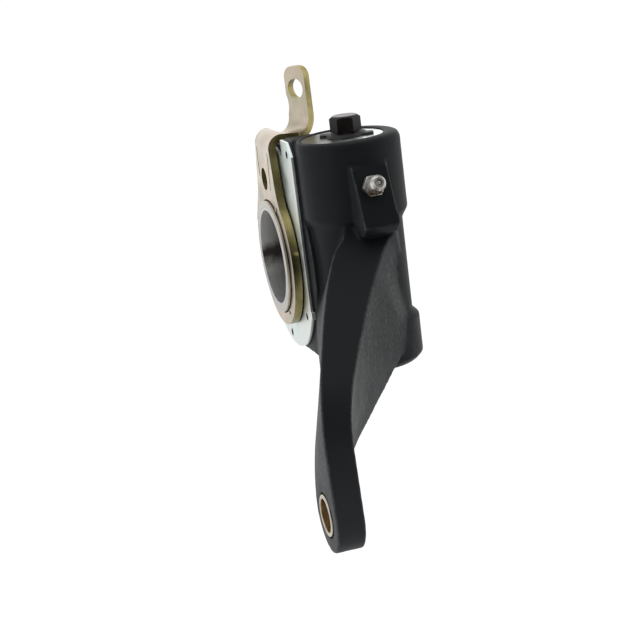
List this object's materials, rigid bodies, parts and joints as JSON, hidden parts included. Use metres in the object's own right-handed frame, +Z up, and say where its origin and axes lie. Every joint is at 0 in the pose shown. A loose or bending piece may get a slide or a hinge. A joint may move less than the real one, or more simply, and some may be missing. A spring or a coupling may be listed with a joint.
{
  "type": "brake slack adjuster",
  "caption": "Automatic brake slack adjuster with a splined worm wheel, adjusting worm with hexagon, clutch rack and pinion, control arm and cranked lever arm with bushed eye.",
  "frame": {"origin": "on the camshaft axis, in the plane through the worm axis, inside the splined bore", "axes": "+X along the camshaft away from the control arm, +Z up along the worm towards its hexagon, the lever arm towards -Y and -Z"},
  "size_m": [0.0735, 0.1839, 0.1837],
  "materials": {
    "body_paint": "satin",
    "bush": "satin",
    "zinc_white": "satin",
    "zinc_gold": "satin",
    "seal": "matte",
    "steel": "satin",
    "dark_steel": "satin",
    "spring_steel": "satin",
    "bronze": "satin"
  },
  "bodies": {
    "body": {"housing": "body_paint", "clevis_bush": "bush", "cover_gasket": "seal", "cover_plate": "zinc_white", "cover_screws": "zinc_white", "control_seal": "seal", "wheel_seal": "seal", "grease_nipple": "steel", "nipple_ball": "steel", "end_cover": "zinc_white", "hex_grommet": "seal", "top_bearing": "bronze", "thrust_washer": "steel", "spring_seat": "dark_steel", "coil_spring": "spring_steel", "bottom_plug": "dark_steel"},
    "worm": {"worm_screw": "dark_steel", "clutch_sleeve": "steel"},
    "wheel": {"worm_wheel": "steel", "retaining_ring": "dark_steel"},
    "control": {"control_arm": "zinc_gold", "control_disc": "steel", "disc_rivets": "zinc_gold"},
    "rack_bar": {"rack": "steel"},
    "pinion": {"clutch_pinion": "steel", "wrap_spring": "spring_steel"}
  },
  "joints": [
    {"name": "worm_turn", "type": "hinge", "parent": "body", "child": "worm", "pos_m": [0, -0.042, 0], "axis": [0, 0, 1], "continuous": true},
    {"name": "wheel_turn", "type": "hinge", "parent": "body", "child": "wheel", "pos_m": [0, 0, 0], "axis": [1, 0, 0], "continuous": true},
    {"name": "control_swing", "type": "hinge", "parent": "body", "child": "control", "pos_m": [0, 0, 0], "axis": [-1, 0, 0], "range_deg": [-1, 16]},
    {"name": "rack_slide", "type": "slide", "parent": "body", "child": "rack_bar", "axis": [0, 1, 0], "range_m": [-0.001, 0.0095]},
    {"name": "pinion_turn", "type": "hinge", "parent": "body", "child": "pinion", "pos_m": [0, -0.042, 0.034], "axis": [0, 0, 1], "range_deg": [-45, 4]}
  ],
  "couplings": [
    {"joint": "wheel_turn", "follows": "worm_turn", "ratio": 0.041667},
    {"joint": "rack_slide", "follows": "control_swing", "m_per_rad": 0.031},
    {"joint": "pinion_turn", "follows": "control_swing", "ratio": -2.5833}
  ]
}
